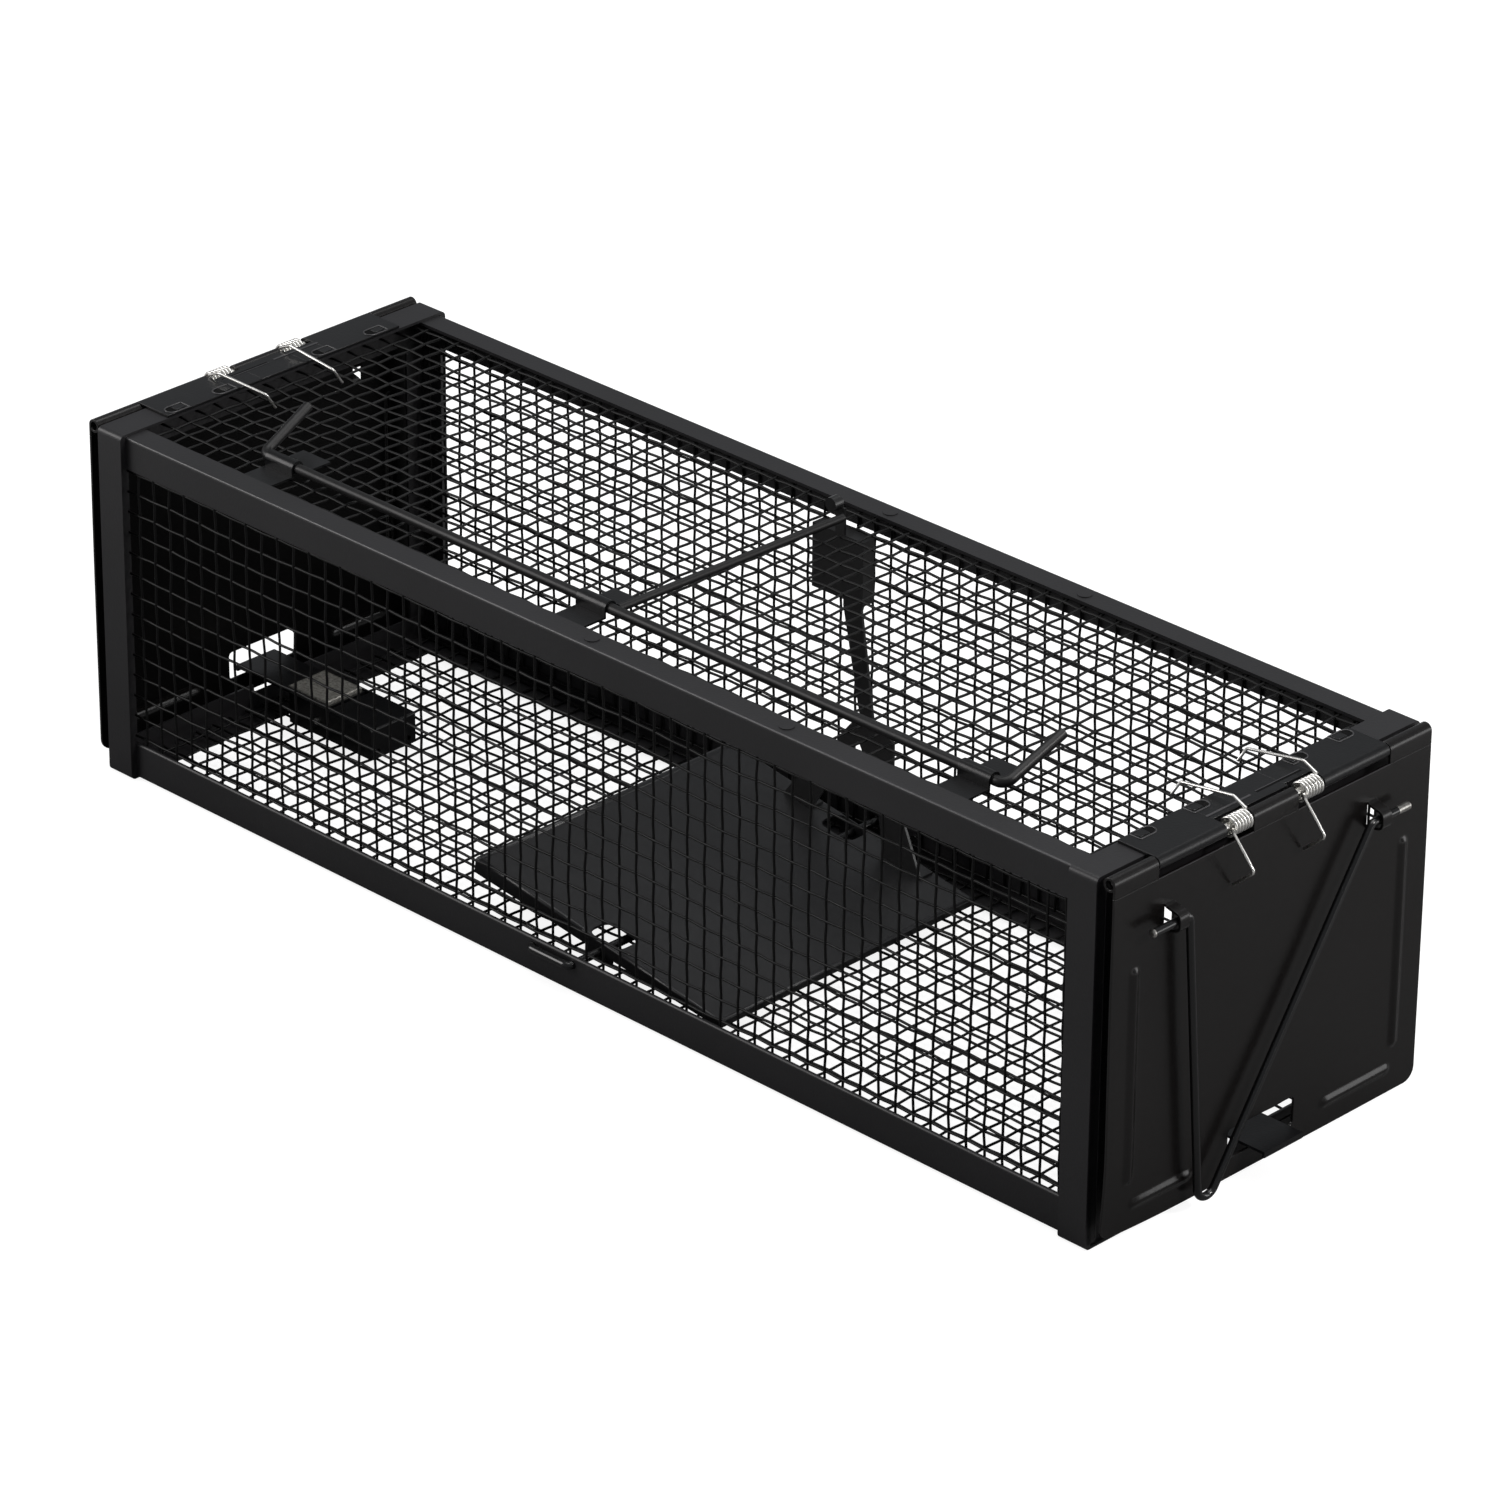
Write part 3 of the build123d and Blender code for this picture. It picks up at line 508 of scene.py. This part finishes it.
def door_sheet():
    """Pressed door sheet on an uneven grid, fine at its ribs, corners and openings."""
    strap_lines = [y + d for y in STRAPS for d in (-STRAP_HALF, 0.0, STRAP_HALF)]
    (hole_near, hole_far), (hole_low, hole_high) = HOLE
    ys = grid_lines((-DOOR_HALF, -71.5, 5), -69.5, (-68.75, -62.75, 12), -60.0, -56.0, -44.0,
                    (-41.0, -34.0, 7), -26.0, (hole_near, hole_near + HOLE_R, 3), -8.0, 0.0, 8.0,
                    (hole_far - HOLE_R, hole_far, 3), 21.0, (27.0, 33.0, 6), 39.0, 55.0, (58.0, 67.5, 19),
                    69.5, (71.5, DOOR_HALF, 5), *strap_lines)
    zs = grid_lines((DOOR_BOTTOM, 9.5, 5), 10.5, (11.3, 16.8, 11), (18.0, 28.0, 20), (32.0, 94.0, 12),
                    (95.0, 103.0, 16), 106.5, WINDOW[0], WIRE_Z, WINDOW[1], 122.0, 125.5, DOOR_TOP)

    def open_cell(y, z):
        if hole_near < y < hole_far and hole_low < z < hole_high:
            return True
        return any(abs(y - s) < STRAP_HALF for s in STRAPS) and WINDOW[0] < z < WINDOW[1]

    def spot(y, z, face):
        for sy in (-1, 1):
            y, z = round_corner(y, z, (sy * DOOR_HALF, DOOR_BOTTOM), (-sy, 1), CORNER_R)
        for y0, sy in ((hole_near, 1), (hole_far, -1)):
            for z0, sz in ((hole_low, 1), (hole_high, -1)):
                y, z = round_corner(y, z, (y0, z0), (sy, sz), HOLE_R)
        low = max(0.0, min(1.0, (40.0 - z) / 36.0)) ** 2
        twist = -TWIST * low * max(0.0, min(1.0, (-y - 30.0) / 46.0)) ** 2
        still = min(1.0, (DOOR_TOP - z) / 30.0)
        wave = noise.noise_vector(Vector((y / 60.0, z / 60.0, 3.0))).x * WAVE * still
        return Vector((face + rib_height(y, z) + twist + wave, y, z))

    ny, nz = len(ys), len(zs)
    verts = [spot(y, z, face) for face in (DOOR_OUT, DOOR_IN) for z in zs for y in ys]
    solid = {(i, j) for j in range(nz - 1) for i in range(ny - 1)
             if not open_cell((ys[i] + ys[i + 1]) / 2, (zs[j] + zs[j + 1]) / 2)}
    back = ny * nz
    faces = []
    for i, j in sorted(solid):
        a, b, c, d = j * ny + i, j * ny + i + 1, (j + 1) * ny + i + 1, (j + 1) * ny + i
        faces.append((a, b, c, d))
        faces.append((back + d, back + c, back + b, back + a))
        for (u, v), step in (((a, b), (0, -1)), ((b, c), (1, 0)), ((c, d), (0, 1)), ((d, a), (-1, 0))):
            if (i + step[0], j + step[1]) not in solid:
                faces.append((v, u, back + u, back + v))
    used = sorted({k for face in faces for k in face})
    place_of = {k: n for n, k in enumerate(used)}
    return [verts[k] for k in used], [tuple(place_of[k] for k in face) for face in faces]


def door_panel(side, flip):
    """The whole door: its sheet, the three rolled knuckles and the two straps over the V wire."""
    outer_end = LEAF_HALF + LEAF_GAP
    roll = [Vector((DOOR_MID, 0, DOOR_TOP))] + arc((HINGE_X, HINGE_Z), ROLL_MID, 0, 322, 36)
    parts = [door_sheet()]
    for low, high in ((-DOOR_HALF, -outer_end), (-KNUCKLE_HALF, KNUCKLE_HALF), (outer_end, DOOR_HALF)):
        parts.append(bent_sheet(roll, SHEET, low, high))
    crown = WIRE_X + V_WIRE_R + 0.55
    bridge = rounded([(DOOR_MID - 0.1, 0, 109.3), (DOOR_OUT + 0.9, 0, 110.0), (crown, 0, 111.3),
                      (crown, 0, 116.7), (DOOR_OUT + 0.9, 0, 118.0), (DOOR_MID - 0.1, 0, 118.7)],
                     [0.8, 2.2, 2.2, 0.8], 5)
    for y in STRAPS:
        parts.append(bent_sheet(bridge, SHEET, y - STRAP_HALF, y + STRAP_HALF))
    obj = build(f"{side}_door_panel", parts, DOOR, flip, 35)
    # The inner face below the knuckles gets the darker coat in painted shade.
    obj.data.materials.append(DOOR_INSIDE_SHADE)
    inward = 1 if flip else -1
    for face in obj.data.polygons:
        below = face.center.z < DOOR_TOP * MM
        if face.normal.x * inward > 0.8 and below and abs(face.center.x) < DOOR_MID * MM:
            face.material_index = 1
    soften(obj, 0.16)
    place(obj, f"{side}_door", "door_coat", f"{side}_door")


def wire_ends(side, flip):
    """Bare metal on the V wire's two ends, where the coat is cut or worn off."""
    parts = []
    for y, out, bare in ((-63.0, -1, 0.5), (60.5, 1, 5.5)):
        ends = [(WIRE_X, y - out * bare, WIRE_Z), (WIRE_X, y + out * 0.1, WIRE_Z)]
        parts.append(tube(ends, V_WIRE_R + 0.04, 24))
    place(build(f"{side}_v_wire_ends", parts, CUT_END, flip), f"{side}_v_wire", "wire_coat")


for side, flip in SIDES:
    door_panel(side, flip)
    wire_ends(side, flip)


# ---- hinge leaves -------------------------------------------------------------
LEAF_IN, SPRING_OUT, LEAF_EDGE = 224.2, 23.5, 235.95
LEAF_MID = HINGE_Z + ROLL_MID
LEAF_TOP = LEAF_MID + SHEET / 2
MARK_X, MARK_HALF, MARK_LONG = 226.9, 2.5, 4.4
TAB_HALF = 1.5


def mark_outline(y):
    """A pressed lance mark's rim: square at one end, round at the other."""
    crown = y + MARK_LONG - MARK_HALF
    angles = [math.radians(t) for t in range(0, 181, 20)]
    bow = [Vector((MARK_X - MARK_HALF * math.cos(a), crown + MARK_HALF * math.sin(a), 0)) for a in angles]
    square = rounded([bow[-1], (MARK_X + MARK_HALF, y - MARK_LONG, 0), (MARK_X - MARK_HALF, y - MARK_LONG, 0),
                      bow[0]], 0.5, 4)
    return bow + [Vector(p) for p in square[1:-1]]


def leaf_marks(side, flip):
    """Lance marks on the fixed leaf: a rim in painted highlight, a flat patch of painted shade on the sunk
    half, and a raised tab.
    """
    rims, shade_patches, tabs = [], [], []
    for y in (-45.8, -20.5, 27.0, 49.5):
        # Rim tube in painted highlight.
        ring = [Vector((p.x, p.y, LEAF_TOP + 0.05)) for p in mark_outline(y)]
        rims.append(tube(ring + [ring[0]], 0.26, 8, False))
        # Flat patch in painted shade over the mark's round end, where the pressing sinks.
        shade_patch = [Vector((p.x, max(p.y, y + 0.8), LEAF_TOP + 0.02)) for p in mark_outline(y)]
        shade_patches.append((shade_patch, [tuple(range(len(shade_patch)))]))
        tabs.append(box((MARK_X - TAB_HALF, y - 3.4, LEAF_TOP - 0.1),
                        (MARK_X + TAB_HALF, y + 0.9, LEAF_TOP + 0.28)))
    for name, parts, material in (("rims", rims, EDGE), ("recess_shades", shade_patches, RECESS_SHADE), ("tabs", tabs, LEAF)):
        obj = build(f"{side}_leaf_{name}", parts, material, flip, 50)
        if name == "tabs":
            soften(obj, 0.15)
        place(obj, "cage", "rail_coat")


def leaf(side, flip):
    """The fixed leaf: two rolls on the pin, flats at the springs, and a tongue at the middle knuckle."""
    start = Vector((LEAF_IN, 0, LEAF_MID))
    roll = [start] + arc((HINGE_X, HINGE_Z), ROLL_MID, 90, -205, 34)
    flat = [start, Vector((LEAF_EDGE, 0, LEAF_MID))]
    tongue = [start, Vector((237.4, 0, LEAF_MID))]
    parts = [bent_sheet(path, SHEET, low, high) for path, low, high in (
        (roll, -LEAF_HALF, -SPRING_OUT), (roll, SPRING_OUT, LEAF_HALF), (flat, -SPRING_OUT, -KNUCKLE_HALF),
        (flat, KNUCKLE_HALF, SPRING_OUT), (tongue, -KNUCKLE_HALF, KNUCKLE_HALF))]
    obj = build(f"{side}_leaf_sheet", parts, LEAF, flip, 35)
    soften(obj, 0.14)
    place(obj, "cage", "rail_coat", f"{side}_hinge_leaf")
    leaf_marks(side, flip)
    # Painted highlight along the leaf's fold and lip, and a flat strip of painted shade in the slit.
    fold = box((233.2, -24.2, LEAF_TOP - 0.1), (234.1, -3.0, LEAF_TOP + 0.16))
    slit_shade = box((233.1, 0.0, LEAF_TOP - 0.1), (234.0, 21.6, LEAF_TOP + 0.02))
    lip = box((232.8, 0.0, LEAF_TOP - 0.1), (233.1, 21.6, LEAF_TOP + 0.12))
    place(build(f"{side}_leaf_fold", [fold, lip], EDGE, flip), "cage", "rail_coat")
    place(build(f"{side}_leaf_slit_shade", [slit_shade], RECESS_SHADE, flip), "cage", "rail_coat")


for side, flip in SIDES:
    leaf(side, flip)


# ---- end frame hems and painted highlights on the doors' edges -----------------
FRAME_END = 236.0
HEM_IN, HEM_OUT = 73.4, 77.2
SILL_OPEN, SILL_HALF = 11.2, 70.0


def hems(side, flip):
    """Folded side edges of the end frame, each with a painted highlight line along its fold."""
    strips = [box((235.2, low, 2.0), (FRAME_END, high, 133.0))
              for low, high in ((-HEM_OUT, -HEM_IN), (HEM_IN, HEM_OUT))]
    folds = [box((235.5, y - 0.16, 2.5), (FRAME_END + 0.08, y + 0.16, 132.5)) for y in (-HEM_IN, HEM_IN)]
    place(build(f"{side}_frame_hems", strips, POST, flip), "cage", "rail_coat")
    place(build(f"{side}_frame_hem_folds", folds, EDGE, flip), "cage", "rail_coat")


def notch_edges(side, flip):
    """Painted highlight: a thin lighter line along the upper edge of the door's notches."""
    outer = LEAF_HALF + LEAF_GAP
    strips = [box((DOOR_OUT - 0.28, low, DOOR_TOP - 0.2), (DOOR_OUT + 0.04, high, DOOR_TOP + 0.05))
              for low, high in ((-outer, -KNUCKLE_HALF), (KNUCKLE_HALF, outer))]
    place(build(f"{side}_notch_edges", strips, EDGE, flip), f"{side}_door", "door_coat")


def sill(side, flip):
    """Upright sill behind the door's lower edge, open in the middle for the latch tongue."""
    strips = [box((232.6, low, 7.0), (233.6, high, 11.5))
              for low, high in ((-SILL_HALF, -SILL_OPEN), (SILL_OPEN, SILL_HALF))]
    place(build(f"{side}_sill", strips, POST, flip), "cage", "rail_coat")


for side, flip in SIDES:
    hems(side, flip)
    notch_edges(side, flip)
    sill(side, flip)


# ---- rail folds and the pedal's rolled rims -------------------------------------
RAIL_FACE, RAIL_TOP, RAIL_END = 75.5, 134.0, 223.8
FOLD_R, FOLD_IN = 0.45, 0.54
PIVOT, PEDAL_TILT, PEDAL_LIFT = (-1.0, 11.0), math.radians(8.6), 4.1
PEDAL_TAIL, PEDAL_NOSE, TAB_END = -60.6, 57.0, 9.5
RIM_Y, RIM_R, TAIL_RIM_R = 61.5, 1.0, 1.35


def rail_folds():
    """A thin tube in painted highlight along the outer fold of each top rail."""
    for name, s in (("near", -1), ("far", 1)):
        y, z = s * (RAIL_FACE - FOLD_IN), RAIL_TOP - FOLD_IN
        crease = tube([(-RAIL_END, y, z), (RAIL_END, y, z)], FOLD_R, 12, False)
        place(build(f"{name}_rail_fold", [crease], EDGE, angle=60), "cage", "rail_coat")


def on_pedal(u, y, h):
    """Point above the tilted pedal: u along it from the pivot, h along its normal."""
    return (PIVOT[0] + u * math.cos(PEDAL_TILT) + h * math.sin(PEDAL_TILT), y,
            PIVOT[1] - u * math.sin(PEDAL_TILT) + h * math.cos(PEDAL_TILT))


def pedal_rims():
    """Rolled edges of the pedal: both ends, and the near side on either side of the axle's tab."""
    level = PEDAL_LIFT - 0.75
    width = (-RIM_Y - 0.1, RIM_Y + 0.1)
    tail, nose = ([on_pedal(u, y, level) for y in width] for u in (PEDAL_TAIL, PEDAL_NOSE))
    near = [on_pedal(u, -RIM_Y, level) for u in (PEDAL_TAIL, -TAB_END)]
    near_nose = [on_pedal(u, -RIM_Y, level) for u in (TAB_END, PEDAL_NOSE)]
    rims = [tube(tail, TAIL_RIM_R, 12)] + [tube(path, RIM_R, 12) for path in (nose, near, near_nose)]
    place(build("pedal_rims", rims, PEDAL, angle=60), "pedal", "pedal_coat")


rail_folds()
pedal_rims()


# ---- studio -------------------------------------------------------------------
def pale_world():
    """White to the camera, and a dimmer, slightly blue fill light to everything else."""
    world = bpy.data.worlds.new("studio")
    bpy.context.scene.world = world
    world.use_nodes = True
    nodes, links = world.node_tree.nodes, world.node_tree.links
    nodes.clear()
    out = nodes.new("ShaderNodeOutputWorld")
    mix = nodes.new("ShaderNodeMixShader")
    path = nodes.new("ShaderNodeLightPath")
    seen, fill = nodes.new("ShaderNodeBackground"), nodes.new("ShaderNodeBackground")
    seen.inputs["Color"].default_value = (1, 1, 1, 1)
    seen.inputs["Strength"].default_value = 1.0
    fill.inputs["Color"].default_value = (0.93, 0.96, 1.0, 1)
    fill.inputs["Strength"].default_value = 0.27
    links.new(path.outputs["Is Camera Ray"], mix.inputs[0])
    links.new(fill.outputs[0], mix.inputs[1])
    links.new(seen.outputs[0], mix.inputs[2])
    links.new(mix.outputs[0], out.inputs[0])


def light_panel(name, place, aim, size, power, colour=(1, 1, 1)):
    data = bpy.data.lights.new(name, "AREA")
    data.shape = "RECTANGLE"
    data.size, data.size_y = size
    data.energy = power
    data.color = colour
    lamp = bpy.data.objects.new(name, data)
    bpy.context.scene.collection.objects.link(lamp)
    lamp.location = place
    lamp.rotation_euler = (Vector(aim) - Vector(place)).to_track_quat("-Z", "Y").to_euler()


def floor_material():
    """White to the camera; to other rays a floor in painted shade near the part, growing paler away from it.
    """
    mat, nodes, links, shader, coords = new_material("pale_floor")
    shader.inputs["Base Color"].default_value = (0.30, 0.30, 0.30, 1)
    shader.inputs["Roughness"].default_value = 0.9
    shader.inputs["Specular IOR Level"].default_value = 0.0
    shader.inputs["Emission Color"].default_value = (1.0, 1.0, 1.0, 1)
    shader.inputs["Emission Strength"].default_value = 0.86
    out = nodes["Material Output"]
    path, mix = nodes.new("ShaderNodeLightPath"), nodes.new("ShaderNodeMixShader")
    dim = nodes.new("ShaderNodeBsdfDiffuse")
    length, floor_shade_ramp = nodes.new("ShaderNodeVectorMath"), nodes.new("ShaderNodeMapRange")
    length.operation = "LENGTH"
    links.new(coords.outputs["Object"], length.inputs[0])
    links.new(length.outputs["Value"], floor_shade_ramp.inputs["Value"])
    # Painted shadow on the floor: darkest close to the part, paler further out.
    for socket, value in (("From Min", 0.45), ("From Max", 1.1), ("To Min", 0.20), ("To Max", 0.85)):
        floor_shade_ramp.inputs[socket].default_value = value
    links.new(floor_shade_ramp.outputs["Result"], dim.inputs["Color"])
    links.new(path.outputs["Is Camera Ray"], mix.inputs[0])
    links.new(dim.outputs[0], mix.inputs[1])
    links.new(shader.outputs[0], mix.inputs[2])
    links.new(mix.outputs[0], out.inputs["Surface"])
    return mat


def pale_floor():
    reach = 12.0
    data = bpy.data.meshes.new("floor")
    corners = [(-reach, -reach, 0), (reach, -reach, 0), (reach, reach, 0), (-reach, reach, 0)]
    data.from_pydata(corners, [], [(0, 1, 2, 3)])
    data.materials.append(floor_material())
    floor = bpy.data.objects.new("floor", data)
    bpy.context.scene.collection.objects.link(floor)
    floor.location = (0, 0, -0.0001)


pale_world()
light_panel("overhead", (0.1, 0.2, 1.7), (0, 0, 0.05), (1.8, 1.4), 20.0)
light_panel("left_softbox", (-1.6, -1.3, 1.1), (0, 0, 0.08), (1.2, 1.2), 25.0, (1.0, 0.975, 0.97))
light_panel("right_card", (1.25, 1.45, 0.32), (0.2, 0, 0.08), (1.2, 0.6), 7.0)
light_panel("right_key", (1.8, 0.6, 1.4), (0.2, 0, 0.08), (0.22, 0.22), 22.0, (1.0, 0.97, 0.96))
pale_floor()
bpy.context.scene.view_settings.view_transform = "Standard"
